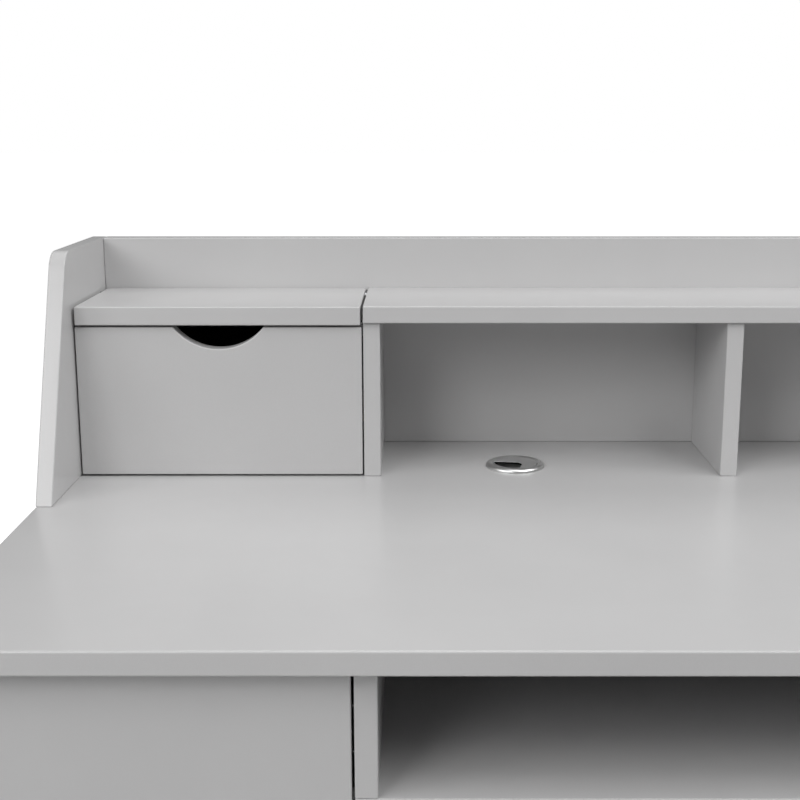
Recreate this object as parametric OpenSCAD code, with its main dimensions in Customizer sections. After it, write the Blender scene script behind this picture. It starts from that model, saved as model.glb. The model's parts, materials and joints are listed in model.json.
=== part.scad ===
// Writing desk with a low hutch: two lift-up lids over two hutch drawers, open cubbies, a cable
// grommet, two desk drawers on ball-bearing slides and an open centre cubby.
// Millimetres. X to the right, Y to the back, Z up. Origin on the floor, at the centre of the desk.

/* [Desk] */
// Width of the desktop
desk_w = 1278; // [1240:2:1500]
// Depth of the desktop
desk_d = 572; // [560:2:640]
// Height of the desktop's upper face
desk_h = 750; // [720:1:780]
// Thickness of the desktop
top_t = 18; // [18:0.5:22]
// Thickness of every other board
board_t = 16; // [16:0.5:18]
// Overhang of the desktop past each end panel
end_inset = 8; // [4:1:14]
// Overhang of the desktop past the fronts below it
front_inset = 16; // [8:1:20]
// Height of the modesty panel below the desktop
modesty_h = 310; // [260:5:360]

/* [Centre cubby] */
// Clear width of the open cubby under the desktop
cubby_w = 652; // [600:1:660]
// Clear height of the open cubby under the desktop
cubby_h = 96; // [90:1:110]

/* [Hutch] */
// Height of the hutch above the desktop
hutch_h = 217; // [205:1:240]
// Thickness of the hutch side panels
side_t = 15; // [15:0.5:18]
// Depth of the hutch side panel at its foot
side_foot_d = 254; // [240:1:280]
// Depth that the hutch side panel would have at its top without the round corner
side_top_d = 162; // [160:1:180]
// Radius of the side panel's top front corner
side_corner_r = 22; // [14:1:40]
// Depth of the hutch partitions
partition_d = 136; // [134:1:150]
// Height of the hutch partitions
partition_h = 149.5; // [148:0.5:160]
// Length of the centre shelf on top of the partitions
shelf_l = 702; // [680:2:720]
// Thickness of the centre shelf
shelf_t = 16; // [16:0.5:18]
// Overhang of the shelf and the lids past the partitions
shelf_overhang = 4; // [2:0.5:6]

/* [Lids] */
// Thickness of a lid
lid_t = 17.5; // [17:0.5:19]
// Drop of the lid's upper face below the shelf's upper face
lid_drop = 0.5; // [0.5:0.5:3]
// Gap between a lid and the hutch side panel
lid_gap_out = 2.75; // [1:0.25:3]
// Gap between a lid and the centre shelf
lid_gap_in = 2.5; // [1.5:0.25:3]
// Gap between a lid and the hutch back panel
lid_gap_back = 1; // [1:0.25:3]
// Distance from the lid's back edge to its pivot
pivot_inset = 20; // [18:1:22]
// Depth of the pivot under the lid's upper face
pivot_drop = 5; // [4.5:0.5:6]

/* [Hutch drawers] */
// Gap at each end of a hutch drawer front
hutch_front_gap = 1.4; // [1:0.1:2]
// Gap under and over a hutch drawer front
hutch_front_gap_z = 1.8; // [1:0.1:2.5]
// Width of the half-moon finger cut-out
cutout_w = 85; // [60:1:110]
// Depth of the half-moon finger cut-out
cutout_d = 21; // [15:1:25]
// Thickness of the drawer sides and backs
box_t = 12; // [10:1:12]
// Height of a hutch drawer box
hutch_box_h = 118; // [100:1:118]

/* [Desk drawers] */
// Gap round a desk drawer front
desk_front_gap = 2; // [1.5:0.25:3]
// Length that a desk drawer front hangs below the cubby floor board, as a finger grip
finger_drop = 15; // [10:1:25]
// Height of a desk drawer box
desk_box_h = 60; // [50:1:62]
// Length of a desk drawer box behind its front
desk_box_l = 420; // [410:2:440]
// Thickness of the drawer bottoms
bottom_t = 4; // [3:0.5:5]

/* [Slides] */
// Width of the space for a slide on each side of a desk drawer
slide_w = 12.5; // [12.5:0.1:13]
// Length of a slide rail
slide_l = 400; // [350:10:400]
// Travel of a desk drawer
slide_travel = 300; // [250:10:300]

/* [Grommet] */
// Distance of the grommet to the left of the desk's centre
grommet_x = 203; // [150:1:260]
// Distance of the grommet's centre in front of the hutch back panel
grommet_y = 98; // [80:0.5:105]
// Diameter of the grommet's rim
grommet_d = 58; // [56:1:64]
// Diameter of the hole in the desktop
grommet_hole_d = 50; // [46:1:52]

/* [Hidden] */
$fn = 64;

// Colours
painted = "#c4c5c8";
bare_wood = "#c9b48f";
black_wood = "#1e1d1c";
steel = "#a9adb2";
satin_metal = "#b9bbbd";
black_plastic = "#222325";
rubber_black = "#1c1c1d";

// Levels
top_z0 = desk_h - top_t;
cubby_z = top_z0 - cubby_h;
floor_board_z = cubby_z - board_t;
partition_z = desk_h + partition_h;
shelf_top_z = partition_z + shelf_t;
lid_z1 = shelf_top_z - lid_drop;
lid_z0 = lid_z1 - lid_t;
hutch_z1 = desk_h + hutch_h;

// Places along X, measured from the centre to the right
half_w = desk_w / 2;
end_out = half_w - end_inset;
end_in = end_out - board_t;
divider_in = cubby_w / 2;
divider_out = divider_in + board_t;
side_in = half_w - side_t;
partition_out = shelf_l / 2;
partition_in = partition_out - board_t;

// Places along Y, negative to the front
back_y1 = desk_d / 2;
back_y0 = back_y1 - board_t;
front_y = -desk_d / 2 + front_inset;
modesty_y1 = back_y0;
modesty_y0 = modesty_y1 - board_t;
partition_y = back_y0 - partition_d;
shelf_y = partition_y - shelf_overhang;
lid_y1 = back_y0 - lid_gap_back;
pivot_y = lid_y1 - pivot_inset;
pivot_z = lid_z1 - pivot_drop;

// Feet
foot_h = 10;
foot_d = 30;
stem_d = 8;
stem_l = 22;
stem_sunk = 20;
foot_ys = [front_y + 40, modesty_y0 - 60];

// Lid pivots: pins fixed in the lid turn in plain bushes
pin_r = 2.5;
pin_in_lid = 12;
bush_l = 8;
bush_r = 4;
pin_clearance = 0.05;
pin_in_bush = 7;

// Lid rests
cleat_w = 12;
cleat_h = 12;
pad_t = 1.5;
pad_r = 4;
pad_squeeze = 0.4;
cleat_y0 = partition_y + board_t + 2;
cleat_y1 = pivot_y - 24;

// Hutch drawer
hutch_front_x0 = partition_out + hutch_front_gap;
hutch_front_x1 = side_in - hutch_front_gap;
hutch_front_z0 = desk_h + hutch_front_gap_z;
hutch_front_z1 = lid_z0 - hutch_front_gap_z - pad_squeeze;
cutout_r = (pow(cutout_w / 2, 2) + pow(cutout_d, 2)) / (2 * cutout_d);
hutch_box_gap = 4;
hutch_box_x0 = partition_out + hutch_box_gap;
hutch_box_x1 = side_in - hutch_box_gap;
hutch_box_z0 = desk_h + 7;
hutch_box_y0 = partition_y + board_t;
stop_t = 8;
hutch_box_y1 = back_y0 - stop_t;
runner_h = 12;
runner_in = 6;
runner_w = hutch_box_gap + runner_in;
runner_slot = 6.5;
runner_z0 = desk_h + 50;
runner_play = 0.6;
runner_y0 = hutch_box_y0 + 2;
hutch_bottom_z = hutch_box_z0 + 6;

// Desk drawer
desk_front_x0 = divider_out + desk_front_gap;
desk_front_x1 = end_in - desk_front_gap;
desk_front_z0 = floor_board_z - finger_drop;
desk_front_z1 = top_z0 - desk_front_gap;
desk_box_x0 = divider_out + slide_w;
desk_box_x1 = end_in - slide_w;
desk_box_y0 = front_y + board_t;
desk_box_z0 = cubby_z + 12;
desk_bottom_z = desk_box_z0 + 6;
groove_d = 5;

// Slides: U-shaped rails with balls between their flanges
rail_t = 1.2;
outer_rail_h = 35;
outer_rail_w = 9.5;
inner_rail_h = 26;
inner_rail_w = 8.5;
ball_r = 1.6;
ball_u = 7;
cage_t = 0.8;
cage_u = 2;
cage_w = 7;
cage_l = 100;
balls_per_row = 5;
ball_pitch = 20;
rail_y0 = desk_box_y0 + 4;
rail_z = desk_box_z0 + desk_box_h / 2;
cage_y0 = rail_y0 + slide_travel / 2;
ball_z = (outer_rail_h / 2 - rail_t + inner_rail_h / 2) / 2;
rail_screw_r = 1.75;
rail_screw_head_r = 3;
rail_screw_ys = [40, 200, 360];

// Cam fittings
cam_r = 7.5;
cam_h = 12.5;
cam_reach = 26;
bolt_r = 3.5;
bolt_thread_l = 11;
cam_slot_w = 2.4;
cam_slot_d = 1.5;

// Screws and dowels
confirmat_r = 3;
confirmat_head_r = 4.5;
confirmat_head_h = 3;
dowel_r = 4;
dowel_in_top = 12;
dowel_in_board = 18;

// Grommet
grommet_pos = [-grommet_x, back_y0 - grommet_y, desk_h];
rim_h = 4.5;
rim_round = 3;
rim_seat_step = 0.6;
liner_t = 2;
ledge_r = 20.5;
ledge_t = 2.5;
cap_r = 21.5;
cap_gap = 0.3;
cap_t = 2;
cap_z = 1.7;

module board(x0, x1, y0, y1, z0, z1) {
  translate([x0, y0, z0]) cube([x1 - x0, y1 - y0, z1 - z0]);
}

module at_left() {
  mirror([1, 0, 0]) children();
}

module both_sides() {
  children();
  at_left() children();
}

// A rod of a given radius from point a along axis "x", "y" or "z"
module rod(a, axis, l, r) {
  turn = axis == "x" ? [0, 90, 0] : axis == "y" ? [-90, 0, 0] : [0, 0, 0];
  translate(a) rotate(turn) cylinder(h = l, r = r);
}

// ---------- fastener places, for the right half ----------

// Cams in the underside of the floor board: bolts along X from the end panel
cam_floor_ys = [front_y + 60, modesty_y0 - 60];
// Cams in the back face of the modesty panel: bolts along X from the end panel
cam_modesty_zs = [top_z0 - modesty_h + 40, top_z0 - 150];
// Cams in the inner face of the end panel: bolts up into the desktop
cam_end_ys = [front_y + 110, modesty_y0 - 50];
// Cam in the drawer side of the cubby divider: bolt up into the desktop
cam_divider_y = modesty_y0 - 45;
// Cams in the back face of the hutch back panel: bolts along X into the hutch side panel
cam_hutch_zs = [desk_h + 50, desk_h + 160];

module bolt_x(y, z, x_board) {
  rod([x_board - cam_reach, y, z], "x", cam_reach + bolt_thread_l, bolt_r);
}

module bolt_up(x, y) {
  rod([x, y, top_z0 - cam_reach], "z", cam_reach + bolt_thread_l, bolt_r);
}

module cam_bolts_half() {
  for (y = cam_floor_ys) bolt_x(y, floor_board_z + board_t / 2, end_in);
  for (z = cam_modesty_zs) bolt_x(modesty_y0 + board_t / 2, z, end_in);
  for (y = cam_end_ys) bolt_up(end_in + board_t / 2, y);
  bolt_up(divider_in + board_t / 2, cam_divider_y);
  for (z = cam_hutch_zs) bolt_x(back_y0 + board_t / 2, z, side_in);
}

// A cam disc from point a along an axis, with a screwdriver slot in its outer face
module cam(a, axis, way) {
  back = way > 0 ? 0 : -cam_h;
  shift = axis == "x" ? [back, 0, 0] : axis == "y" ? [0, back, 0] : [0, 0, back];
  rod(a + shift, axis, cam_h, cam_r);
}

module cam_slot(a, axis) {
  size = axis == "x" ? [2 * cam_slot_d, 2 * cam_r - 3, cam_slot_w]
       : axis == "y" ? [2 * cam_r - 3, 2 * cam_slot_d, cam_slot_w]
       : [2 * cam_r - 3, cam_slot_w, 2 * cam_slot_d];
  translate(a) cube(size, center = true);
}

module cams_half(with_slots) {
  for (y = cam_floor_ys) cam_piece([end_in - cam_reach, y, floor_board_z], "z", 1, with_slots);
  for (z = cam_modesty_zs) cam_piece([end_in - cam_reach, modesty_y1, z], "y", -1, with_slots);
  for (y = cam_end_ys) cam_piece([end_in, y, top_z0 - cam_reach], "x", 1, with_slots);
  cam_piece([divider_out, cam_divider_y, top_z0 - cam_reach], "x", -1, with_slots);
  for (z = cam_hutch_zs) cam_piece([side_in - cam_reach, back_y1, z], "y", -1, with_slots);
}

module cam_piece(a, axis, way, with_slots) {
  difference() {
    cam(a, axis, way);
    if (with_slots) cam_slot(a, axis);
  }
}

// A confirmat screw from its head's face at point a, going along an axis, way +1 or -1
module confirmat(a, axis, way, l) {
  head = way > 0 ? 0 : -confirmat_head_h;
  shank = way > 0 ? confirmat_head_h : -l;
  unit = axis == "y" ? [0, 1, 0] : [0, 0, 1];
  rod(a + head * unit, axis, confirmat_head_h, confirmat_head_r);
  rod(a + shank * unit, axis, l - confirmat_head_h, confirmat_r);
}

confirmat_l = 50;
divider_screw_ys = [front_y + 60, -20, modesty_y0 - 120];
partition_screw_zs = [desk_h + 40, desk_h + 115];
shelf_screw_xs = [110, 240];

module confirmats_half() {
  for (y = divider_screw_ys)
    confirmat([divider_in + board_t / 2, y, floor_board_z], "z", 1, confirmat_l);
  for (z = partition_screw_zs)
    confirmat([partition_in + board_t / 2, back_y1, z], "y", -1, confirmat_l);
  for (x = shelf_screw_xs)
    confirmat([x, back_y1, partition_z + shelf_t / 2], "y", -1, confirmat_l);
}

module confirmats_middle() {
  for (z = partition_screw_zs) confirmat([0, back_y1, z], "y", -1, confirmat_l);
  confirmat([0, modesty_y1, floor_board_z + board_t / 2], "y", -1, confirmat_l);
}

hutch_dowel_ys = [partition_y + 30, back_y0 - 40];
side_dowel_ys = [back_y1 - side_foot_d + 50, back_y0 - 40];
back_dowel_xs = [150, 450];

module dowel_up(x, y) {
  rod([x, y, desk_h - dowel_in_top], "z", dowel_in_top + dowel_in_board, dowel_r);
}

module dowel_shelf(x, y) {
  rod([x, y, partition_z - dowel_in_board], "z", dowel_in_top + dowel_in_board, dowel_r);
}

module dowels_half() {
  for (y = side_dowel_ys) dowel_up(half_w - side_t / 2, y);
  for (y = hutch_dowel_ys) dowel_up(partition_in + board_t / 2, y);
  for (y = hutch_dowel_ys) dowel_shelf(partition_in + board_t / 2, y);
  for (x = back_dowel_xs) dowel_up(x, back_y0 + board_t / 2);
}

module dowels_middle() {
  for (y = hutch_dowel_ys) dowel_up(0, y);
  for (y = hutch_dowel_ys) dowel_shelf(0, y);
}

// Everything that is bored into the painted boards
module fastener_bores() {
  both_sides() {
    cam_bolts_half();
    cams_half(false);
    confirmats_half();
    dowels_half();
    stems_half();
    rail_screws_half();
    bushes_solid_half();
  }
  confirmats_middle();
  dowels_middle();
}

// ---------- frame boards ----------

module desktop() {
  color(painted) difference() {
    board(-half_w, half_w, -desk_d / 2, back_y1, top_z0, desk_h);
    fastener_bores();
    translate([grommet_pos[0], grommet_pos[1], top_z0 - 1])
      cylinder(h = top_t + 2, d = grommet_hole_d);
  }
}

module end_panel() {
  color(painted) difference() {
    board(end_in, end_out, front_y, modesty_y1, foot_h, top_z0);
    fastener_bores();
  }
}

module left_end_panel() {
  at_left() end_panel();
}

module right_end_panel() {
  end_panel();
}

module modesty_panel() {
  color(painted) difference() {
    board(-end_in, end_in, modesty_y0, modesty_y1, top_z0 - modesty_h, top_z0);
    fastener_bores();
  }
}

module cubby_floor_board() {
  // Cut back behind the drawer fronts, full depth under the open cubby and its dividers
  color(painted) difference() {
    board(-end_in, end_in, front_y, modesty_y0, floor_board_z, cubby_z);
    both_sides()
      board(divider_out, end_in + 1, front_y - 1, desk_box_y0 + 1, floor_board_z - 1, cubby_z + 1);
    fastener_bores();
  }
}

module cubby_divider() {
  color(painted) difference() {
    board(divider_in, divider_out, front_y, modesty_y0, cubby_z, top_z0);
    fastener_bores();
  }
}

module left_cubby_divider() {
  at_left() cubby_divider();
}

module right_cubby_divider() {
  cubby_divider();
}

// Side panel outline in the Y-Z plane, leaning front edge and one round corner
module hutch_side_outline() {
  lean = atan((side_foot_d - side_top_d) / hutch_h);
  turn = 90 - lean;
  tangent = side_corner_r * tan(turn / 2);
  corner_y = back_y1 - side_top_d;
  arc_steps = 12;
  centre = [corner_y + tangent, hutch_z1 - side_corner_r];
  points = concat(
    [[back_y1, desk_h], [back_y1, hutch_z1]],
    [for (i = [0:arc_steps])
      centre + side_corner_r * [cos(90 + turn * i / arc_steps), sin(90 + turn * i / arc_steps)]],
    [[back_y1 - side_foot_d, desk_h]]
  );
  polygon(points);
}

module hutch_side() {
  color(painted) difference() {
    translate([side_in, 0, 0]) rotate([90, 0, 90])
      linear_extrude(height = side_t) hutch_side_outline();
    fastener_bores();
  }
}

module left_hutch_side() {
  at_left() hutch_side();
}

module right_hutch_side() {
  hutch_side();
}

module hutch_back_panel() {
  color(painted) difference() {
    board(-side_in, side_in, back_y0, back_y1, desk_h, hutch_z1);
    fastener_bores();
  }
}

module hutch_partition() {
  color(painted) difference() {
    board(partition_in, partition_out, partition_y, back_y0, desk_h, partition_z);
    fastener_bores();
  }
}

module left_hutch_partition() {
  at_left() hutch_partition();
}

module right_hutch_partition() {
  hutch_partition();
}

module hutch_mid_divider() {
  color(painted) difference() {
    board(-board_t / 2, board_t / 2, partition_y, back_y0, desk_h, partition_z);
    fastener_bores();
  }
}

module hutch_top_shelf() {
  color(painted) difference() {
    board(-shelf_l / 2, shelf_l / 2, shelf_y, back_y0, partition_z, shelf_top_z);
    fastener_bores();
  }
}

// ---------- lid rests and pivots ----------

module cleats_half() {
  for (x0 = [partition_out, side_in - cleat_w])
    board(x0, x0 + cleat_w, cleat_y0, cleat_y1, lid_z0 - pad_t - cleat_h, lid_z0 - pad_t);
}

module lid_rest_cleats() {
  color(painted) both_sides() cleats_half();
}

module lid_rest_pads() {
  color(rubber_black) both_sides()
    for (x = [partition_out + cleat_w / 2, side_in - cleat_w / 2])
      rod([x, cleat_y0 + 10, lid_z0 - pad_t], "z", pad_t, pad_r);
}

// The inner pivot sits in the end of the shelf, the outer one in the hutch side panel
module bushes_solid_half() {
  rod([partition_out - bush_l, pivot_y, pivot_z], "x", bush_l, bush_r);
  rod([side_in, pivot_y, pivot_z], "x", bush_l, bush_r);
}

module lid_pivot_bushes() {
  color(black_plastic) both_sides() difference() {
    bushes_solid_half();
    rod([partition_out - bush_l - 1, pivot_y, pivot_z], "x", bush_l + 2, pin_r + pin_clearance);
    rod([side_in - 1, pivot_y, pivot_z], "x", bush_l + 2, pin_r + pin_clearance);
  }
}

lid_x0 = partition_out + lid_gap_in;
lid_x1 = side_in - lid_gap_out;

module lid_pins_half() {
  rod([partition_out - pin_in_bush, pivot_y, pivot_z], "x",
      pin_in_bush + lid_gap_in + pin_in_lid, pin_r);
  rod([lid_x1 - pin_in_lid, pivot_y, pivot_z], "x",
      pin_in_lid + lid_gap_out + pin_in_bush, pin_r);
}

module lid() {
  color(painted) difference() {
    board(lid_x0, lid_x1, shelf_y, lid_y1, lid_z0, lid_z1);
    lid_pins_half();
  }
}

module left_lid() {
  at_left() lid();
}

module right_lid() {
  lid();
}

module left_lid_pins() {
  color(steel) at_left() lid_pins_half();
}

module right_lid_pins() {
  color(steel) lid_pins_half();
}

// ---------- hutch drawers ----------

module runners_half(play) {
  board(partition_out, partition_out + runner_w, runner_y0, hutch_box_y1,
        runner_z0 - play, runner_z0 + runner_h);
  board(side_in - runner_w, side_in, runner_y0, hutch_box_y1,
        runner_z0 - play, runner_z0 + runner_h);
}

module hutch_drawer_runners() {
  color(bare_wood) both_sides() runners_half(0);
}

module hutch_drawer_stops() {
  color(rubber_black) both_sides()
    for (x = [hutch_box_x0 + 40, hutch_box_x1 - 40])
      rod([x, hutch_box_y1, hutch_box_z0 + hutch_box_h / 2], "y", stop_t, 6);
}

module hutch_bottom_half() {
  board(hutch_box_x0 + box_t - groove_d, hutch_box_x1 - box_t + groove_d,
        hutch_box_y0 - groove_d, hutch_box_y1 - box_t + groove_d,
        hutch_bottom_z, hutch_bottom_z + bottom_t);
}

module runner_slots_half() {
  for (x0 = [hutch_box_x0, hutch_box_x1 - runner_slot])
    board(x0 - (x0 == hutch_box_x0 ? 1 : 0), x0 + runner_slot + (x0 == hutch_box_x0 ? 0 : 1),
          hutch_box_y0, hutch_box_y1 + 1, runner_z0 - runner_play, runner_z0 + runner_h);
}

module hutch_drawer_front_half() {
  color(painted) difference() {
    board(hutch_front_x0, hutch_front_x1, partition_y, hutch_box_y0,
          hutch_front_z0, hutch_front_z1);
    rod([(hutch_front_x0 + hutch_front_x1) / 2, partition_y - 1,
         hutch_front_z1 - cutout_d + cutout_r], "y", board_t + 2, cutout_r, $fn = 128);
    hutch_bottom_half();
  }
}

module hutch_drawer_side_half(x0) {
  color(black_wood) difference() {
    board(x0, x0 + box_t, hutch_box_y0, hutch_box_y1, hutch_box_z0, hutch_box_z0 + hutch_box_h);
    hutch_bottom_half();
    runner_slots_half();
  }
}

module hutch_drawer_back_half() {
  color(black_wood) difference() {
    board(hutch_box_x0 + box_t, hutch_box_x1 - box_t, hutch_box_y1 - box_t, hutch_box_y1,
          hutch_box_z0, hutch_box_z0 + hutch_box_h);
    hutch_bottom_half();
  }
}

module left_hutch_drawer_front() {
  at_left() hutch_drawer_front_half();
}

module left_hutch_drawer_outer_side() {
  at_left() hutch_drawer_side_half(hutch_box_x1 - box_t);
}

module left_hutch_drawer_inner_side() {
  at_left() hutch_drawer_side_half(hutch_box_x0);
}

module left_hutch_drawer_back() {
  at_left() hutch_drawer_back_half();
}

module left_hutch_drawer_bottom() {
  color(black_wood) at_left() hutch_bottom_half();
}

module right_hutch_drawer_front() {
  hutch_drawer_front_half();
}

module right_hutch_drawer_outer_side() {
  hutch_drawer_side_half(hutch_box_x1 - box_t);
}

module right_hutch_drawer_inner_side() {
  hutch_drawer_side_half(hutch_box_x0);
}

module right_hutch_drawer_back() {
  hutch_drawer_back_half();
}

module right_hutch_drawer_bottom() {
  color(black_wood) hutch_bottom_half();
}

// ---------- desk drawers ----------

module desk_bottom_half() {
  board(desk_box_x0 + box_t - groove_d, desk_box_x1 - box_t + groove_d,
        desk_box_y0 - groove_d, desk_box_y0 + desk_box_l - box_t + groove_d,
        desk_bottom_z, desk_bottom_z + bottom_t);
}

module desk_drawer_front_half() {
  color(painted) difference() {
    board(desk_front_x0, desk_front_x1, front_y, desk_box_y0, desk_front_z0, desk_front_z1);
    desk_bottom_half();
  }
}

module desk_drawer_side_half(x0) {
  color(bare_wood) difference() {
    board(x0, x0 + box_t, desk_box_y0, desk_box_y0 + desk_box_l,
          desk_box_z0, desk_box_z0 + desk_box_h);
    desk_bottom_half();
    inner_rail_screws_half();
  }
}

module desk_drawer_back_half() {
  color(bare_wood) difference() {
    board(desk_box_x0 + box_t, desk_box_x1 - box_t,
          desk_box_y0 + desk_box_l - box_t, desk_box_y0 + desk_box_l,
          desk_box_z0, desk_box_z0 + desk_box_h);
    desk_bottom_half();
  }
}

module left_desk_drawer_front() {
  at_left() desk_drawer_front_half();
}

module left_desk_drawer_outer_side() {
  at_left() desk_drawer_side_half(desk_box_x1 - box_t);
}

module left_desk_drawer_inner_side() {
  at_left() desk_drawer_side_half(desk_box_x0);
}

module left_desk_drawer_back() {
  at_left() desk_drawer_back_half();
}

module left_desk_drawer_bottom() {
  color(bare_wood) at_left() desk_bottom_half();
}

module right_desk_drawer_front() {
  desk_drawer_front_half();
}

module right_desk_drawer_outer_side() {
  desk_drawer_side_half(desk_box_x1 - box_t);
}

module right_desk_drawer_inner_side() {
  desk_drawer_side_half(desk_box_x0);
}

module right_desk_drawer_back() {
  desk_drawer_back_half();
}

module right_desk_drawer_bottom() {
  color(bare_wood) desk_bottom_half();
}

// ---------- ball-bearing slides ----------

// Local frame: U away from the cabinet wall, Y to the back, Z up from the slide's middle line.
// The slide on the divider keeps it; the slide on the end panel mirrors it.
module each_slide() {
  translate([divider_out, rail_y0, rail_z]) children();
  translate([end_in, rail_y0, rail_z]) mirror([1, 0, 0]) children();
}

module channel(u0, w, h, t, l, web_first) {
  translate([u0, 0, -h / 2]) difference() {
    cube([w, l, h]);
    translate([web_first ? t : -1, -1, t]) cube([w - t + 1, l + 2, h - 2 * t]);
  }
}

module rail_screw_shape() {
  // Countersunk, its head flush with the rail's web; U points along the shank
  rotate([0, 90, 0]) union() {
    cylinder(h = rail_t, r1 = rail_screw_head_r, r2 = rail_screw_r);
    cylinder(h = 11, r = rail_screw_r);
  }
}

module rail_screws_half() {
  each_slide() for (y = rail_screw_ys)
    translate([rail_t, y, 0]) mirror([1, 0, 0]) rail_screw_shape();
}

module inner_rail_screws_half() {
  each_slide() for (y = rail_screw_ys)
    translate([slide_w - rail_t, y, 0]) rail_screw_shape();
}

module outer_slide_rails() {
  color(steel) both_sides() difference() {
    each_slide() channel(0, outer_rail_w, outer_rail_h, rail_t, slide_l, true);
    rail_screws_half();
  }
}

module outer_rail_screws() {
  color(steel) both_sides() rail_screws_half();
}

module inner_rails_half() {
  color(steel) difference() {
    each_slide() channel(slide_w - inner_rail_w, inner_rail_w, inner_rail_h, rail_t, slide_l, false);
    inner_rail_screws_half();
  }
}

module ball_cages_half() {
  cage_h = 2 * ball_z + cage_t;
  color(steel) each_slide() translate([0, cage_y0 - rail_y0, 0]) {
    difference() {
      channel(cage_u, cage_w, cage_h, cage_t, cage_l, true);
      ball_places() cylinder(h = 4, r = ball_r + 0.1, center = true);
    }
    ball_places() sphere(r = ball_r);
  }
}

module ball_places() {
  first = (cage_l - (balls_per_row - 1) * ball_pitch) / 2;
  for (i = [0:balls_per_row - 1], side = [-1, 1])
    translate([ball_u, first + i * ball_pitch, side * ball_z]) children();
}

module left_desk_drawer_rails() {
  at_left() inner_rails_half();
}

module left_inner_rail_screws() {
  color(steel) at_left() inner_rail_screws_half();
}

module left_slide_ball_cages() {
  at_left() ball_cages_half();
}

module right_desk_drawer_rails() {
  inner_rails_half();
}

module right_inner_rail_screws() {
  color(steel) inner_rail_screws_half();
}

module right_slide_ball_cages() {
  ball_cages_half();
}

// ---------- fasteners and feet ----------

module cam_locks() {
  color(steel) both_sides() difference() {
    cams_half(true);
    cam_bolts_half();
  }
}

module cam_bolts() {
  color(steel) both_sides() cam_bolts_half();
}

module confirmat_screws() {
  color(steel) {
    both_sides() confirmats_half();
    confirmats_middle();
  }
}

module frame_dowels() {
  color(bare_wood) {
    both_sides() dowels_half();
    dowels_middle();
  }
}

module stems_half() {
  for (y = foot_ys)
    rod([end_in + board_t / 2, y, foot_h - stem_l + stem_sunk], "z", stem_l, stem_d / 2);
}

module glide_stems() {
  color(steel) both_sides() stems_half();
}

module glide_feet() {
  color(black_plastic) both_sides() difference() {
    for (y = foot_ys) foot(end_in + board_t / 2, y);
    stems_half();
  }
}

// A foot with a rounded lower rim, turned about its stem
module foot(x, y) {
  foot_edge = 2;
  translate([x, y, 0]) rotate_extrude() polygon([
    [0, 0], [foot_d / 2 - foot_edge, 0], [foot_d / 2, foot_edge],
    [foot_d / 2, foot_h - 3], [board_t / 2, foot_h], [0, foot_h]
  ]);
}

// ---------- cable grommet ----------

module grommet_liner() {
  rim_r = grommet_d / 2;
  bore_r = grommet_hole_d / 2 - liner_t;
  seat_r = cap_r + cap_gap;
  arc_steps = 8;
  round_edge = [for (i = [0:arc_steps])
    [rim_r - rim_round + rim_round * sin(90 * i / arc_steps),
     rim_h - rim_round + rim_round * cos(90 * i / arc_steps)]];
  color(satin_metal) translate(grommet_pos) rotate_extrude($fn = 96) polygon(concat(
    [[bore_r, -top_t], [grommet_hole_d / 2, -top_t], [grommet_hole_d / 2, 0], [rim_r, 0]],
    [for (i = [arc_steps:-1:0]) round_edge[i]],
    [[seat_r, rim_h - rim_seat_step], [seat_r, cap_z], [ledge_r, cap_z],
     [ledge_r, cap_z - ledge_t], [bore_r, cap_z - ledge_t]]
  ));
}

// The cap turns in its seat; its slot is open from the middle to the front left
module grommet_cap() {
  color(satin_metal) translate(grommet_pos + [0, 0, cap_z]) difference() {
    cylinder(h = cap_t, r = cap_r, $fn = 96);
    intersection() {
      translate([0, 0, -1]) cylinder(h = cap_t + 2, r = ledge_r, $fn = 96);
      translate([0, 0, -1]) linear_extrude(height = cap_t + 2) polygon([
        [-25, 4], [-9, 2.5], [2.5, 1], [6.5, -5], [2, -25], [-25, -25]
      ]);
    }
  }
}

desktop();
left_end_panel();
right_end_panel();
modesty_panel();
cubby_floor_board();
left_cubby_divider();
right_cubby_divider();
left_hutch_side();
right_hutch_side();
hutch_back_panel();
left_hutch_partition();
right_hutch_partition();
hutch_mid_divider();
hutch_top_shelf();
lid_rest_cleats();
lid_rest_pads();
lid_pivot_bushes();
hutch_drawer_runners();
hutch_drawer_stops();
outer_slide_rails();
outer_rail_screws();
cam_locks();
cam_bolts();
confirmat_screws();
frame_dowels();
glide_stems();
glide_feet();
grommet_liner();
grommet_cap();
left_lid();
right_lid();
left_lid_pins();
right_lid_pins();
left_hutch_drawer_front();
left_hutch_drawer_outer_side();
left_hutch_drawer_inner_side();
left_hutch_drawer_back();
left_hutch_drawer_bottom();
right_hutch_drawer_front();
right_hutch_drawer_outer_side();
right_hutch_drawer_inner_side();
right_hutch_drawer_back();
right_hutch_drawer_bottom();
left_desk_drawer_front();
left_desk_drawer_outer_side();
left_desk_drawer_inner_side();
left_desk_drawer_back();
left_desk_drawer_bottom();
left_desk_drawer_rails();
left_inner_rail_screws();
left_slide_ball_cages();
right_desk_drawer_front();
right_desk_drawer_outer_side();
right_desk_drawer_inner_side();
right_desk_drawer_back();
right_desk_drawer_bottom();
right_desk_drawer_rails();
right_inner_rail_screws();
right_slide_ball_cages();
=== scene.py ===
"""Looks for the writing desk: eased painted boards, plywood drawer boxes, metal fittings and a
studio.

Metres throughout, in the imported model's own frame: X to the right, Y to the back, Z up.
"""
import json
import math

import bmesh
import bpy
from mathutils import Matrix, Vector
from mathutils.bvhtree import BVHTree

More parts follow.
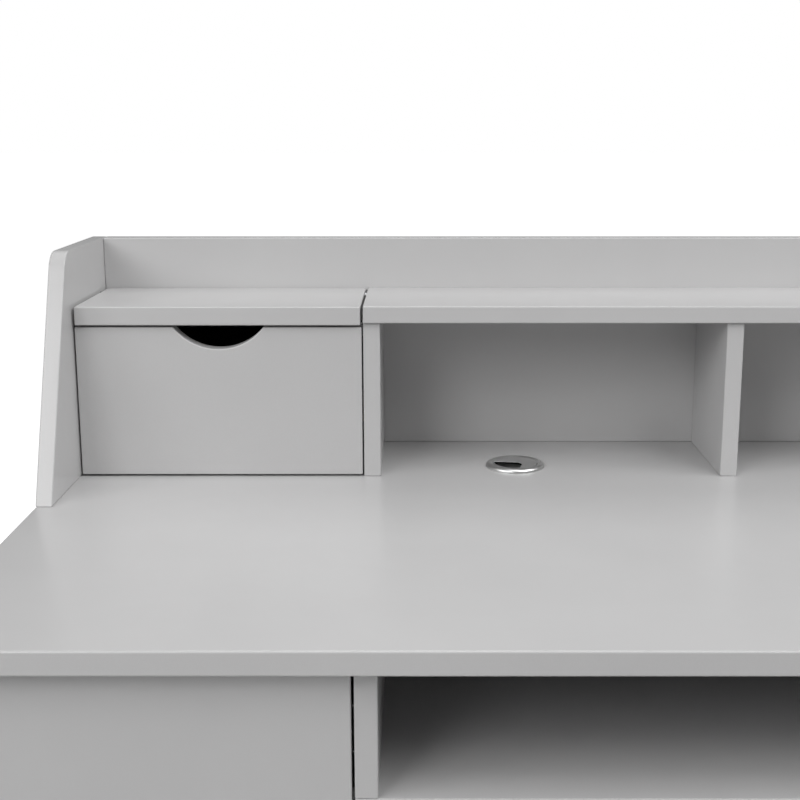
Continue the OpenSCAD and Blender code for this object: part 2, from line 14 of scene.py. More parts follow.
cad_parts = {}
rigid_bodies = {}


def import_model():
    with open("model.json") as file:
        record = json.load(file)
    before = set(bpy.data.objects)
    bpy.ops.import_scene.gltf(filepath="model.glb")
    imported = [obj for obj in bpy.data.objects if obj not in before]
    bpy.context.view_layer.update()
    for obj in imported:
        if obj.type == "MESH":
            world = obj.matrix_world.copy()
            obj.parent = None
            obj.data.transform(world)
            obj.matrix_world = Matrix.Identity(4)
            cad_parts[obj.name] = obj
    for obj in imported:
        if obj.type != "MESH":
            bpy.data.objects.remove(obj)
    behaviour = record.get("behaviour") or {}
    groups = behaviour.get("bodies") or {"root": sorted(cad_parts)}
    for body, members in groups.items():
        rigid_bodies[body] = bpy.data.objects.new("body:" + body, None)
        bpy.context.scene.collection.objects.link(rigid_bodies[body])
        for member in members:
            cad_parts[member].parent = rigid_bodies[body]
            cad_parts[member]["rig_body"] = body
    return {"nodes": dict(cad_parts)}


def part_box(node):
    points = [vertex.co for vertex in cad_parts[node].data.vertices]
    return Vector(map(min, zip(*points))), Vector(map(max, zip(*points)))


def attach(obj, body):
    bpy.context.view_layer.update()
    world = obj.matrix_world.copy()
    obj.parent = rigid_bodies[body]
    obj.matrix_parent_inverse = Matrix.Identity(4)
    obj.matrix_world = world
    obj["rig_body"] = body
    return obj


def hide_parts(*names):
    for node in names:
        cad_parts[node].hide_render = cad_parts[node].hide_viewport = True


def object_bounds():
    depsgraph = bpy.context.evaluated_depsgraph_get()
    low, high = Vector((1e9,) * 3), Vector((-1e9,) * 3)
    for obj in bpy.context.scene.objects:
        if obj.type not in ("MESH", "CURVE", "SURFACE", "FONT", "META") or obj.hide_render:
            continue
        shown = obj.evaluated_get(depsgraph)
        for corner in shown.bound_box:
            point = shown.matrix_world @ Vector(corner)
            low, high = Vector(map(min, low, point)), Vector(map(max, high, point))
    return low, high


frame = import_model()
cad_low, cad_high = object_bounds()
NODES = frame["nodes"]
MM = 0.001
SIDES = ("left", "right")


# ---------- shader helpers ----------

class Shader:
    """One node material: short names for the nodes that every finish here uses."""

    def __init__(self, name):
        self.material = bpy.data.materials.new(name)
        self.material.use_nodes = True
        self.tree = self.material.node_tree
        self.surface = self.tree.nodes["Principled BSDF"]
        self.place = self.tree.nodes.new("ShaderNodeTexCoord").outputs["Object"]

    def link(self, output, socket):
        """Joins a node's output to another node's input."""
        self.tree.links.new(output, socket)

    def set(self, **values):
        """Constants straight on the surface shader's own sockets."""
        for name, value in values.items():
            self.surface.inputs[name.replace("_", " ")].default_value = value

    def scaled(self, scale, offset=(0, 0, 0)):
        """The object's coordinates, stretched per axis."""
        mapping = self.tree.nodes.new("ShaderNodeMapping")
        mapping.inputs["Scale"].default_value = scale
        mapping.inputs["Location"].default_value = offset
        self.link(self.place, mapping.inputs["Vector"])
        return mapping.outputs["Vector"]

    def grained(self, grain, across, along):
        """The object's coordinates, with one scale along the grain axis and one across it."""
        scale = [across, across, across]
        scale[grain] = along
        return self.scaled(scale)

    def split(self, vector):
        """A vector's X, Y and Z, each on its own."""
        split = self.tree.nodes.new("ShaderNodeSeparateXYZ")
        self.link(vector, split.inputs["Vector"])
        return split.outputs

    def length(self, vector):
        """The length of a vector."""
        measure = self.tree.nodes.new("ShaderNodeVectorMath")
        measure.operation = "LENGTH"
        self.link(vector, measure.inputs[0])
        return measure.outputs["Value"]

    def noise(self, scale, detail=3.0, roughness=0.55, vector=None, distortion=0.0):
        """Noise on the object's coordinates, or on the vector given."""
        noise = self.tree.nodes.new("ShaderNodeTexNoise")
        noise.inputs["Scale"].default_value = scale
        noise.inputs["Detail"].default_value = detail
        noise.inputs["Roughness"].default_value = roughness
        noise.inputs["Distortion"].default_value = distortion
        self.link(self.place if vector is None else vector, noise.inputs["Vector"])
        return noise.outputs["Fac"]

    def ramp(self, factor, stops):
        """A colour ramp; stops are (position, colour)."""
        ramp = self.tree.nodes.new("ShaderNodeValToRGB")
        elements = ramp.color_ramp.elements
        while len(elements) < len(stops):
            elements.new(0.5)
        for element, (position, colour) in zip(elements, stops):
            element.position = position
            element.color = (*colour, 1.0)
        self.link(factor, ramp.inputs["Fac"])
        return ramp.outputs["Color"]

    def spread(self, factor, low, high, from_low=0.3, from_high=0.7):
        """The factor's usual span, moved to low..high."""
        span = self.tree.nodes.new("ShaderNodeMapRange")
        span.inputs["From Min"].default_value = from_low
        span.inputs["From Max"].default_value = from_high
        span.inputs["To Min"].default_value = low
        span.inputs["To Max"].default_value = high
        self.link(factor, span.inputs["Value"])
        return span.outputs["Result"]

    def mix(self, factor, first, second, blend="MIX"):
        """Two colours mixed; each value may be a number, a colour or another node's output."""
        mix = self.tree.nodes.new("ShaderNodeMix")
        mix.data_type = "RGBA"
        mix.blend_type = blend
        for socket, value in ((mix.inputs["Factor"], factor), (mix.inputs["A"], first),
                              (mix.inputs["B"], second)):
            if hasattr(value, "is_output"):
                self.link(value, socket)
            elif isinstance(value, tuple):
                socket.default_value = (*value, 1.0)
            else:
                socket.default_value = value
        return mix.outputs["Result"]

    def maths(self, operation, first, second=0.0):
        """One sum on numbers or on other nodes' outputs."""
        maths = self.tree.nodes.new("ShaderNodeMath")
        maths.operation = operation
        for socket, value in zip(maths.inputs, (first, second)):
            if hasattr(value, "is_output"):
                self.link(value, socket)
            else:
                socket.default_value = value
        return maths.outputs["Value"]

    def bump(self, height, distance, strength=1.0, under=None):
        """Surface relief; under is a coarser relief that this one lies on."""
        bump = self.tree.nodes.new("ShaderNodeBump")
        bump.inputs["Distance"].default_value = distance
        bump.inputs["Strength"].default_value = strength
        self.link(height, bump.inputs["Height"])
        if under is not None:
            self.link(under, bump.inputs["Normal"])
        self.link(bump.outputs["Normal"], self.surface.inputs["Normal"])
        return bump.outputs["Normal"]

    def colour(self, output):
        """The surface's base colour."""
        self.link(output, self.surface.inputs["Base Color"])

    def roughness(self, output):
        """The surface's roughness."""
        self.link(output, self.surface.inputs["Roughness"])


# ---------- finishes ----------

PLY_PAIR = 2.6 * MM     # one dark ply and one light ply
RING_RATE = 9000.0      # turning rings on the grommet, in radians per metre


def satin_lacquer():
    """Sprayed light grey lacquer on fibreboard: faint mottling, fine orange peel, softly varying
    gloss."""
    shader = Shader("satin_grey_lacquer")
    cloud = shader.noise(5.0, 4.0, 0.6)
    speck = shader.noise(1400.0, 2.0, 0.5)
    tone = shader.ramp(cloud, ((0.3, (0.566, 0.563, 0.565)), (0.7, (0.590, 0.587, 0.588))))
    fine = shader.ramp(speck, ((0.35, (0.975, 0.975, 0.975)), (0.65, (1.0, 1.0, 1.0))))
    shader.colour(shader.mix(1.0, tone, fine, "MULTIPLY"))
    shader.roughness(shader.spread(shader.noise(9.0, 5.0, 0.65), 0.33, 0.43))
    peel = shader.noise(420.0, 2.0, 0.45)
    wave = shader.noise(38.0, 2.0, 0.5)
    soft = shader.bump(wave, 0.00006, 0.5)
    shader.bump(peel, 0.000022, 0.6, under=soft)
    shader.set(Coat_Weight=0.3, Coat_Roughness=0.2)
    return shader.material


def plywood(name, grain, ply):
    """Birch plywood: long grain on the faces, thin dark and light plies on the edges across axis
    ply."""
    shader = Shader(name)
    figure = shader.noise(3.0, 5.0, 0.62, shader.grained(grain, 26.0, 2.2), 0.8)
    pores = shader.noise(1.0, 2.0, 0.5, shader.grained(grain, 900.0, 45.0))
    face = shader.ramp(figure, ((0.30, (0.60, 0.44, 0.27)), (0.52, (0.70, 0.55, 0.37)),
                                (0.72, (0.76, 0.62, 0.44))))
    flecked = shader.mix(shader.spread(pores, 0.0, 0.22, 0.55, 0.75), face, (0.36, 0.22, 0.11))
    through = shader.maths("MULTIPLY", shader.split(shader.place)[ply], 2 * math.pi / PLY_PAIR)
    layers = shader.maths("SINE", through)
    edge = shader.mix(shader.spread(layers, 0.0, 1.0, -0.5, 0.5),
                      (0.50, 0.33, 0.18), (0.72, 0.56, 0.37))
    normal = shader.tree.nodes.new("ShaderNodeTexCoord").outputs["Normal"]
    facing = shader.maths("ABSOLUTE", shader.split(normal)[ply])
    shader.colour(shader.mix(shader.spread(facing, 0.0, 1.0, 0.45, 0.75), edge, flecked))
    shader.roughness(shader.spread(figure, 0.42, 0.56))
    shader.bump(pores, 0.00004, 0.5)
    return shader.material


def black_plywood(name, grain):
    """Black-stained birch plywood: open grain that shows as a faint satin figure."""
    shader = Shader(name)
    figure = shader.noise(3.0, 5.0, 0.62, shader.grained(grain, 30.0, 2.4), 0.8)
    pores = shader.noise(1.0, 2.0, 0.5, shader.grained(grain, 850.0, 42.0))
    shader.colour(shader.ramp(figure, ((0.3, (0.006, 0.006, 0.006)), (0.7, (0.014, 0.013, 0.013)))))
    shader.roughness(shader.spread(figure, 0.50, 0.64))
    shader.bump(pores, 0.00005, 0.6)
    return shader.material


def beech(name, grain):
    """Planed beech: short dark rays on a warm ground."""
    shader = Shader(name)
    figure = shader.noise(2.0, 4.0, 0.6, shader.grained(grain, 40.0, 3.0), 0.5)
    rays = shader.noise(1.0, 1.0, 0.4, shader.grained(grain, 700.0, 120.0))
    ground = shader.ramp(figure, ((0.3, (0.52, 0.34, 0.20)), (0.7, (0.66, 0.46, 0.29))))
    shader.colour(shader.mix(shader.spread(rays, 0.0, 0.5, 0.58, 0.70), ground, (0.30, 0.16, 0.08)))
    shader.roughness(shader.spread(figure, 0.50, 0.62))
    shader.bump(rays, 0.00005, 0.5)
    return shader.material


def zinc_steel():
    """Zinc-plated rolled steel: fine rolling lines along the rails and a patchy passivated tone."""
    shader = Shader("zinc_plated_steel")
    patches = shader.noise(60.0, 4.0, 0.6)
    lines = shader.noise(1.0, 3.0, 0.6, shader.scaled((2600.0, 30.0, 2600.0)))
    shader.colour(shader.ramp(patches, ((0.3, (0.56, 0.57, 0.59)), (0.7, (0.70, 0.71, 0.72)))))
    shader.set(Metallic=1.0)
    shader.roughness(shader.spread(lines, 0.24, 0.40))
    shader.bump(lines, 0.00001, 0.5)
    return shader.material


def satin_nickel(centre, bore, bore_top):
    """Turned and satin-plated: rings about the grommet's own axis, with near-black painted shade
    below bore_top inside the radius bore, where the bore and the cap's slot lie in shade."""
    shader = Shader("satin_nickel")
    offset = shader.scaled((1.0, 1.0, 0.0), (-centre.x, -centre.y, 0.0))
    from_axis = shader.length(offset)
    turned = shader.maths("MULTIPLY", from_axis, RING_RATE)
    rings = shader.maths("SINE", shader.maths("ADD", turned, shader.noise(60.0)))
    smear = shader.noise(45.0, 2.0, 0.5)
    plated = shader.ramp(smear, ((0.3, (0.76, 0.76, 0.755)), (0.7, (0.80, 0.80, 0.795))))
    # Painted shade: the metal is coloured near-black below bore_top within the bore radius,
    # standing in for the shade down the hole and in the cap's slot.
    low = shader.maths("LESS_THAN", shader.split(shader.place)["Z"], bore_top)
    inside = shader.maths("LESS_THAN", from_axis, bore)
    painted_bore_shade = shader.maths("MULTIPLY", low, inside)
    shader.colour(shader.mix(painted_bore_shade, plated, (0.012, 0.012, 0.012)))
    shader.set(Metallic=1.0)
    shader.roughness(shader.spread(smear, 0.33, 0.38))
    shader.bump(rings, 0.000002, 0.3)
    return shader.material


def moulded(name, colour, rough, grain_mm):
    """Moulded plastic or rubber with a fine spark-eroded grain."""
    shader = Shader(name)
    grain = shader.noise(1.0 / (grain_mm * MM), 3.0, 0.6)
    cloud = shader.noise(40.0, 3.0, 0.5)
    low = tuple(0.8 * c for c in colour)
    high = tuple(1.3 * c for c in colour)
    shader.colour(shader.ramp(cloud, ((0.3, low), (0.7, high))))
    shader.roughness(shader.spread(grain, rough - 0.07, rough + 0.07))
    shader.bump(grain, 0.00004, 0.5)
    return shader.material


rim_low, rim_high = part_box("grommet_liner")
cap_low, cap_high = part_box("grommet_cap")
GROMMET_CENTRE = (rim_low + rim_high) / 2
CAP_RADIUS = (cap_high.x - cap_low.x) / 2
# How far inside the cap's edge and below its top the painted bore shade begins.
BORE_SHADE_INSET = 0.4 * MM
X_AXIS, Y_AXIS, Z_AXIS = 0, 1, 2
LACQUER = satin_lacquer()
PLY_SIDE = plywood("birch_ply_side", Y_AXIS, X_AXIS)
PLY_BACK = plywood("birch_ply_back", X_AXIS, Y_AXIS)
PLY_BOTTOM = plywood("birch_ply_bottom", Y_AXIS, Z_AXIS)
BLACK_SIDE = black_plywood("black_ply_side", Y_AXIS)
BLACK_BACK = black_plywood("black_ply_back", X_AXIS)
BEECH_RUNNER = beech("beech_runner", Y_AXIS)
BEECH_DOWEL = beech("beech_dowel", Z_AXIS)
STEEL = zinc_steel()
NICKEL = satin_nickel(GROMMET_CENTRE, CAP_RADIUS - BORE_SHADE_INSET, cap_high.z - BORE_SHADE_INSET)
NYLON = moulded("black_nylon", (0.020, 0.020, 0.022), 0.46, 0.5)
RUBBER = moulded("black_rubber", (0.016, 0.016, 0.017), 0.78, 0.3)


# ---------- mesh helpers ----------

EASED = 1.2 * MM
EASED_DESKTOP = 1.8 * MM
EASED_PLY = 0.7 * MM
EASED_CAP = 0.35 * MM
EDGE_STEPS = 4
CAP_EDGE_STEPS = 3
SHARP = math.radians(32)
FLAT = math.radians(0.5)
WELD = 0.001 * MM


def welded(mesh):
    """A node's mesh as bmesh, its flat faces made whole again."""
    bm = bmesh.new()
    bm.from_mesh(mesh)
    bmesh.ops.remove_doubles(bm, verts=bm.verts, dist=WELD)
    bmesh.ops.dissolve_limit(bm, angle_limit=FLAT, verts=bm.verts, edges=bm.edges)
    return bm


def as_piece(bm, name, material, body, slot, *stands_for):
    """Turns the bmesh into a smooth-shaded piece that rides on a body and stands for CAD nodes."""
    for edge in bm.edges:
        edge.smooth = not (len(edge.link_faces) == 2 and edge.calc_face_angle(0.0) > SHARP)
    for face in bm.faces:
        face.smooth = True
    mesh = bpy.data.meshes.new(name)
    bm.to_mesh(mesh)
    bm.free()
    piece = bpy.data.objects.new(name, mesh)
    bpy.context.scene.collection.objects.link(piece)
    mesh.materials.append(material)
    normals = piece.modifiers.new("weighted_normals", "WEIGHTED_NORMAL")
    normals.keep_sharp = True
    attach(piece, body)
    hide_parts(*stands_for)


def surface_tree(names):
    """One search tree over the surfaces of several CAD nodes."""
    bm = bmesh.new()
    for name in names:
        bm.from_mesh(NODES[name].data)
    tree = BVHTree.FromBMesh(bm)
    bm.free()
    return tree


HARDWARE = surface_tree(
    ["cam_locks", "cam_bolts", "confirmat_screws", "frame_dowels", "glide_stems",
     "outer_rail_screws", "lid_pivot_bushes", "grommet_liner"]
    + [f"{side}_{part}" for side in SIDES for part in (
        "lid_pins", "inner_rail_screws", "hutch_drawer_bottom", "desk_drawer_bottom")]
)
AT_HARDWARE = 0.3 * MM


def outline_edges(bm):
    """The convex edges of a board, without the rims of the bores that hardware fills."""
    edges = []
    for edge in bm.edges:
        if len(edge.link_faces) != 2 or not edge.is_convex or edge.calc_face_angle(0.0) < SHARP:
            continue
        middle = (edge.verts[0].co + edge.verts[1].co) / 2
        if HARDWARE.find_nearest(middle, AT_HARDWARE)[0] is None:
            edges.append(edge)
    return edges


def rounded(bm, edges, radius, steps):
    """Rounds edges over."""
    bmesh.ops.bevel(bm, geom=edges, offset=radius, offset_type="OFFSET", segments=steps,
                    profile=0.5, affect="EDGES", clamp_overlap=True)


def eased_board(node, radius, material, slot):
    """The CAD board with its outside edges rounded over."""
    bm = welded(NODES[node].data)
    rounded(bm, outline_edges(bm), radius, EDGE_STEPS)
    as_piece(bm, node + "_eased", material, NODES[node]["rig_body"], slot, node)


# ---------- boards ----------

PAINTED = ["left_end_panel", "right_end_panel", "modesty_panel", "cubby_floor_board",
           "left_cubby_divider", "right_cubby_divider", "left_hutch_side", "right_hutch_side",
           "hutch_back_panel", "left_hutch_partition", "right_hutch_partition",
           "hutch_mid_divider", "hutch_top_shelf"]
for side in SIDES:
    PAINTED += [f"{side}_lid", f"{side}_hutch_drawer_front", f"{side}_desk_drawer_front"]
eased_board("desktop", EASED_DESKTOP, LACQUER, "painted_board")
for node in PAINTED:
    eased_board(node, EASED, LACQUER, "painted_board")
for side in SIDES:
    for drawer, slot, side_ply, back_ply in (
            (f"{side}_hutch_drawer", "black_box_wood", BLACK_SIDE, BLACK_BACK),
            (f"{side}_desk_drawer", "drawer_box_wood", PLY_SIDE, PLY_BACK)):
        eased_board(drawer + "_outer_side", EASED_PLY, side_ply, slot)
        eased_board(drawer + "_inner_side", EASED_PLY, side_ply, slot)
        eased_board(drawer + "_back", EASED_PLY, back_ply, slot)


# ---------- turned fittings ----------

SCREW_STEPS = 24
GROMMET_STEPS = 144
THREAD_RINGS_PER_TURN = 5


def ring_frame(axis):
    """Two directions square to an axis."""
    across = Vector((0, 0, 1)) if abs(axis.z) < 0.9 else Vector((0, 1, 0))
    first = axis.cross(across).normalized()
    return first, axis.cross(first)


def revolved(bm, rings, start, axis, steps, closed=False):
    """Adds rings round an axis to bm. A ring is (distance along the axis, radius), and the radius
    may be a function of the angle. Closed joins the last ring to the first; otherwise both ends
    are capped."""
    first, second = ring_frame(axis)
    loops = []
    for along, radius in rings:
        loop = []
        for step in range(steps):
            angle = 2 * math.pi * step / steps
            reach = radius(angle) if callable(radius) else radius
            outward = first * math.cos(angle) + second * math.sin(angle)
            loop.append(bm.verts.new(start + axis * along + outward * reach))
        loops.append(loop)
    pairs = list(zip(loops, loops[1:] + loops[:1])) if closed else list(zip(loops, loops[1:]))
    for low, high in pairs:
        for step in range(steps):
            after = (step + 1) % steps
            bm.faces.new((low[step], low[after], high[after], high[step]))
    if not closed:
        bm.faces.new(list(reversed(loops[0])))
        bm.faces.new(loops[-1])


def hexagon(half_flats):
    """Radius by angle of a hexagonal socket."""
    sixth = math.pi / 3
    return lambda angle: half_flats / math.cos(angle % sixth - sixth / 2)


def cross(reach, waist):
    """Radius by angle of a cross recess."""
    return lambda angle: waist + (reach - waist) * abs(math.cos(2 * angle)) ** 6


def thread(crest, depth, pitch, along):
    """Radius by angle of a screw thread at one distance along the shank."""
    def radius(angle):
        turn = (along / pitch - angle / (2 * math.pi)) % 1.0
        return crest - depth * abs(2 * turn - 1)
    return radius


def threaded(crest, depth, pitch, begins, ends):
    """Rings of a threaded stretch of a shank."""
    count = round((ends - begins) / pitch * THREAD_RINGS_PER_TURN)
    places = [begins + (ends - begins) * i / count for i in range(count + 1)]
    return [(along, thread(crest, depth, pitch, along)) for along in places]


def loose_solids(node):
    """Lowest and highest corners of each separate solid in a CAD node."""
    bm = welded(NODES[node].data)
    unvisited, solids = set(bm.verts), []
    while unvisited:
        waiting = [unvisited.pop()]
        part = list(waiting)
        while waiting:
            for edge in waiting.pop().link_edges:
                for vert in edge.verts:
                    if vert in unvisited:
                        unvisited.remove(vert)
                        part.append(vert)
                        waiting.append(vert)
        low = Vector([min(v.co[i] for v in part) for i in range(3)])
        high = Vector([max(v.co[i] for v in part) for i in range(3)])
        solids.append((low, high))
    bm.free()
    return sorted(solids, key=lambda box: tuple(round(c, 5) for c in box[0]))


def screw_place(low, high, heads_towards):
    """Where a screw's head face is, the way that its shank points, and its length."""
    size = high - low
    axis = max(range(3), key=lambda i: size[i])
    way = heads_towards(axis, low, high)
    face = (low + high) / 2
    face[axis] = high[axis] if way > 0 else low[axis]
    into = Vector((0, 0, 0))
    into[axis] = -way
    return face, into, size[axis]


def screws(node, shape, heads_towards):
    """One detailed steel piece for all the screws of a CAD node."""
    bm = bmesh.new()
    for low, high in loose_solids(node):
        face, into, length = screw_place(low, high, heads_towards)
        revolved(bm, shape(length), face, into, SCREW_STEPS)
    bmesh.ops.recalc_face_normals(bm, faces=bm.faces)
    as_piece(bm, node + "_threaded", STEEL, NODES[node]["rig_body"], "steel", node)


def confirmat(length):
    """A confirmat screw: flush head with a hexagonal socket, coarse thread, blunt point."""
    socket = hexagon(2.0 * MM)
    head, chamfer, head_depth = 4.5 * MM, 0.3 * MM, 3.0 * MM
    return ([(2.4 * MM, socket), (0.0, socket), (0.0, head - chamfer), (chamfer, head),
             (head_depth, head), (head_depth + 0.2 * MM, 2.4 * MM), (9.0 * MM, 2.4 * MM)]
            + threaded(3.0 * MM, 0.8 * MM, 3.0 * MM, 10.0 * MM, length - 3.0 * MM)
            + [(length, 1.4 * MM)])


def rail_screw(length):
    """A countersunk slide screw with a cross recess."""
    recess = cross(1.7 * MM, 0.55 * MM)
    return ([(0.9 * MM, cross(0.9 * MM, 0.4 * MM)), (0.0, recess), (0.0, 2.85 * MM),
             (0.12 * MM, 3.0 * MM), (1.2 * MM, 1.5 * MM)]
            + threaded(1.75 * MM, 0.5 * MM, 1.4 * MM, 1.8 * MM, length - 2.0 * MM)
            + [(length, 0.3 * MM)])


def glide_stem(length):
    """The threaded stem of a levelling glide."""
    return ([(0.0, 3.2 * MM), (0.6 * MM, 3.6 * MM)]
            + threaded(4.0 * MM, 0.7 * MM, 1.5 * MM, 1.0 * MM, length - 1.0 * MM)
            + [(length, 3.3 * MM)])


def behind_or_below(axis, low, high):
    """Frame screws go in from behind and from below."""
    return 1 if axis == Y_AXIS else -1


def inside_channel(rails):
    """Slide screws show their heads inside the channel of the rail that they hold."""
    middles = [(low.x + high.x) / 2 for low, high in loose_solids(rails)]

    def way(axis, low, high):
        here = (low.x + high.x) / 2
        rail = min(middles, key=lambda x: abs(x - here))
        return 1 if rail > here else -1
    return way


screws("confirmat_screws", confirmat, behind_or_below)
screws("outer_rail_screws", rail_screw, inside_channel("outer_slide_rails"))
for side in SIDES:
    screws(f"{side}_inner_rail_screws", rail_screw, inside_channel(f"{side}_desk_drawer_rails"))
screws("glide_stems", glide_stem, behind_or_below)


# ---------- cable grommet ----------

DESK_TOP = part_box("desktop")[1].z


def grommet_rim():
    """The liner: a tube through the desktop under a rim with a beaded outer edge, a dished ring
    and a seat for the cap. Heights are above the desktop."""
    rim = (rim_high.x - rim_low.x) / 2
    top = rim_high.z - DESK_TOP
    seat = cap_low.z - DESK_TOP
    foot = rim_low.z - DESK_TOP
    tube_out, tube_in = 25.0 * MM, 23.0 * MM
    ledge, ledge_t = CAP_RADIUS - 1.0 * MM, 2.5 * MM
    wall = CAP_RADIUS + 0.3 * MM
    chamfer, dish = 0.4 * MM, 1.3 * MM
    bead_w, bead_h, arc_steps = 4.6 * MM, 4.1 * MM, 12
    quarter = [math.pi / 2 * i / arc_steps for i in range(arc_steps + 1)]
    arc = [(top - bead_h + bead_h * math.sin(angle), rim - bead_w + bead_w * math.cos(angle))
           for angle in quarter]
    rings = ([(foot, tube_in + chamfer), (foot, tube_out - chamfer), (foot + chamfer, tube_out),
              (0.0, tube_out), (0.0, rim - 0.2 * MM), (0.2 * MM, rim)]
             + arc
             + [(top - 0.08 * MM, rim - bead_w - 0.4 * MM),
                (top - dish, wall + 0.45 * MM), (top - dish - 0.12 * MM, wall + 0.15 * MM),
                (top - dish - 0.45 * MM, wall), (seat, wall), (seat, ledge + 0.2 * MM),
                (seat - 0.2 * MM, ledge), (seat - ledge_t, ledge), (seat - ledge_t, tube_in),
                (foot + chamfer, tube_in)])
    bm = bmesh.new()
    start = Vector((GROMMET_CENTRE.x, GROMMET_CENTRE.y, DESK_TOP))
    revolved(bm, rings, start, Vector((0, 0, 1)), GROMMET_STEPS, closed=True)
    bmesh.ops.recalc_face_normals(bm, faces=bm.faces)
    as_piece(bm, "grommet_rim_turned", NICKEL, "desk_frame", "satin_metal", "grommet_liner")


def grommet_cap():
    """The swivelling cap, with eased rims round its edge and its cable slot."""
    bm = welded(NODES["grommet_cap"].data)
    rims = [edge for edge in bm.edges
            if edge.is_convex and edge.calc_face_angle(0.0) > SHARP
            and abs(edge.verts[0].co.z - edge.verts[1].co.z) < WELD]
    rounded(bm, rims, EASED_CAP, CAP_EDGE_STEPS)
    as_piece(bm, "grommet_cap_turned", NICKEL, "grommet_cap", "satin_metal", "grommet_cap")


grommet_rim()
grommet_cap()


# ---------- carried-over CAD nodes ----------

def refinish(node, material, bevel=0.0):
    """A CAD node keeps its shape, gets a finish, and has its hard edges just broken."""
    piece = NODES[node]
    piece.data.materials.clear()
    piece.data.materials.append(material)
    for polygon in piece.data.polygons:
        polygon.material_index = 0
        polygon.use_smooth = True
    weld = piece.modifiers.new("weld", "WELD")
    weld.merge_threshold = WELD
    if bevel:
        edge = piece.modifiers.new("broken_edges", "BEVEL")
        edge.width = bevel
        edge.segments = 2
        edge.limit_method = "ANGLE"
        edge.angle_limit = SHARP
    normals = piece.modifiers.new("weighted_normals", "WEIGHTED_NORMAL")
    normals.keep_sharp = True


for side in SIDES:
    refinish(f"{side}_hutch_drawer_bottom", BLACK_SIDE)
    refinish(f"{side}_desk_drawer_bottom", PLY_BOTTOM)
    refinish(f"{side}_desk_drawer_rails", STEEL, 0.15 * MM)
    refinish(f"{side}_slide_ball_cages", STEEL)
    refinish(f"{side}_lid_pins", STEEL, 0.3 * MM)
refinish("outer_slide_rails", STEEL, 0.15 * MM)
refinish("cam_locks", STEEL, 0.2 * MM)
refinish("cam_bolts", STEEL)
refinish("frame_dowels", BEECH_DOWEL)
refinish("hutch_drawer_runners", BEECH_RUNNER, 0.5 * MM)
refinish("lid_rest_cleats", LACQUER, 0.6 * MM)
refinish("lid_rest_pads", RUBBER, 0.3 * MM)
refinish("hutch_drawer_stops", RUBBER, 0.8 * MM)
refinish("lid_pivot_bushes", NYLON, 0.2 * MM)
refinish("glide_feet", NYLON, 0.5 * MM)


# ---------- stage, light and camera ----------

PANEL_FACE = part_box("hutch_back_panel")[0].y
FLOOR_HALF = 40.0
GLOW_STARTS, GLOW_FULL = 1.2, 2.2
LIT_PLACE = Vector((-0.3, 0.05, DESK_TOP + 0.05))


def pale_floor():
    """A plain pale studio floor. Away from the desk it is white to the camera only, so its glow
    lights nothing."""
    shader = Shader("pale_floor")
    drift = shader.noise(0.6, 2.0, 0.5)
    shader.colour(shader.ramp(drift, ((0.3, (0.86, 0.86, 0.86)), (0.7, (0.89, 0.89, 0.89)))))
    glow = shader.spread(shader.length(shader.place), 0.0, 1.0, GLOW_STARTS, GLOW_FULL)
    seen = shader.tree.nodes.new("ShaderNodeLightPath").outputs["Is Camera Ray"]
    shader.link(shader.maths("MULTIPLY", glow, seen), shader.surface.inputs["Emission Strength"])
    shader.set(Roughness=0.7, Emission_Color=(1.0, 1.0, 1.0, 1.0))
    bm = bmesh.new()
    bmesh.ops.create_grid(bm, x_segments=2, y_segments=2, size=FLOOR_HALF)
    mesh = bpy.data.meshes.new("studio_floor")
    bm.to_mesh(mesh)
    bm.free()
    floor = bpy.data.objects.new("studio_floor", mesh)
    bpy.context.scene.collection.objects.link(floor)
    floor.location.z = cad_low.z
    mesh.materials.append(shader.material)


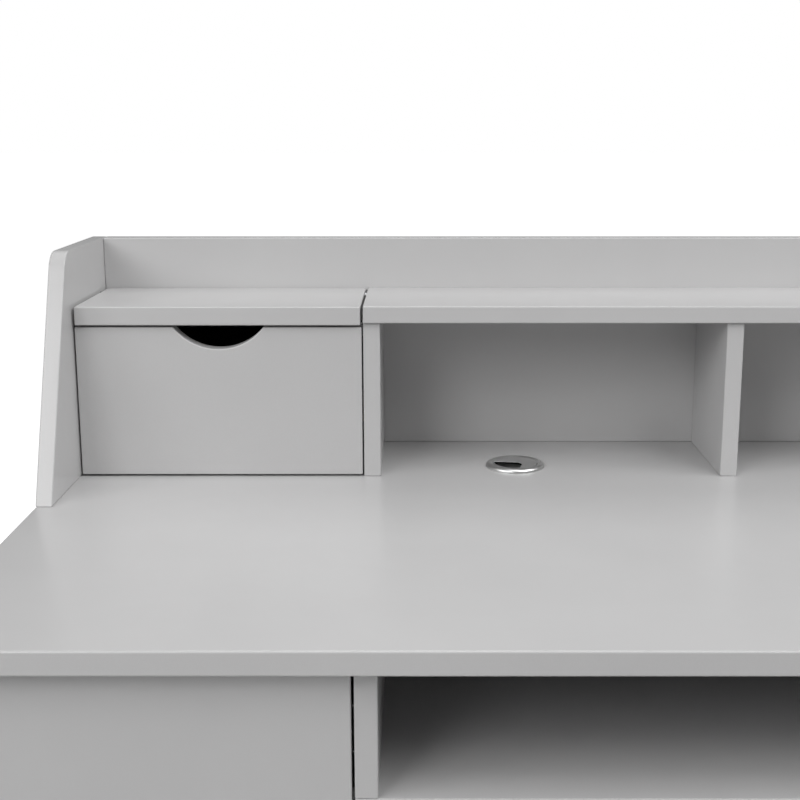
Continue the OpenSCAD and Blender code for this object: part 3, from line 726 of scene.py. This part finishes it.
def softbox(name, turn, rise, distance, size, watts):
    """A square softbox aimed at LIT_PLACE on the left part of the hutch. It is turned to the right
    of straight in front and raised, both in degrees; its distance and size are in metres."""
    turn, rise = math.radians(turn), math.radians(rise)
    towards = Vector((math.sin(turn) * math.cos(rise), -math.cos(turn) * math.cos(rise),
                      math.sin(rise)))
    data = bpy.data.lights.new(name, "AREA")
    data.shape = "SQUARE"
    data.size = size
    data.energy = watts
    light = bpy.data.objects.new(name, data)
    bpy.context.scene.collection.objects.link(light)
    light.location = LIT_PLACE + towards * distance
    light.rotation_euler = (-towards).to_track_quat("-Z", "Y").to_euler()


def white_world(strength):
    """A white backdrop behind everything, which lights the desk only as much as strength says."""
    world = bpy.data.worlds.new("white_studio")
    bpy.context.scene.world = world
    world.use_nodes = True
    nodes, links = world.node_tree.nodes, world.node_tree.links
    fill = nodes["Background"]
    fill.inputs["Color"].default_value = (1.0, 1.0, 1.0, 1.0)
    fill.inputs["Strength"].default_value = strength
    backdrop = nodes.new("ShaderNodeBackground")
    backdrop.inputs["Color"].default_value = (1.0, 1.0, 1.0, 1.0)
    backdrop.inputs["Strength"].default_value = 1.0
    seen = nodes.new("ShaderNodeLightPath")
    either = nodes.new("ShaderNodeMixShader")
    links.new(seen.outputs["Is Camera Ray"], either.inputs["Fac"])
    links.new(fill.outputs["Background"], either.inputs[1])
    links.new(backdrop.outputs["Background"], either.inputs[2])
    links.new(either.outputs["Shader"], nodes["World Output"].inputs["Surface"])


def camera():
    data = bpy.data.cameras.new("camera")
    data.lens = 58.4
    data.sensor_width = 36.0
    data.shift_x = -0.0228
    data.clip_end = 100.0
    cam = bpy.data.objects.new("camera", data)
    bpy.context.scene.collection.objects.link(cam)
    left_of_centre = 0.299
    in_front_of_panel = 1.343
    above_desktop = 0.338
    looks_down = math.radians(12.28)
    cam.location = (-left_of_centre, PANEL_FACE - in_front_of_panel, DESK_TOP + above_desktop)
    cam.rotation_euler = (math.radians(90) - looks_down, 0, 0)
    bpy.context.scene.camera = cam


pale_floor()
white_world(strength=0.02)
softbox("left_front_softbox", -30, 27, 2.6, 1.0, 17)
softbox("left_softbox", -60, 27, 2.6, 1.0, 14)
softbox("overhead_softbox", 0, 68, 2.4, 1.2, 12)
softbox("right_front_softbox", 40, 42, 2.6, 1.2, 20)
softbox("right_softbox", 80, 42, 2.6, 1.2, 22)
softbox("back_softbox", 180, 60, 2.4, 1.4, 16)
camera()

scene = bpy.context.scene
scene.view_settings.view_transform = "Standard"
scene.view_settings.look = "None"
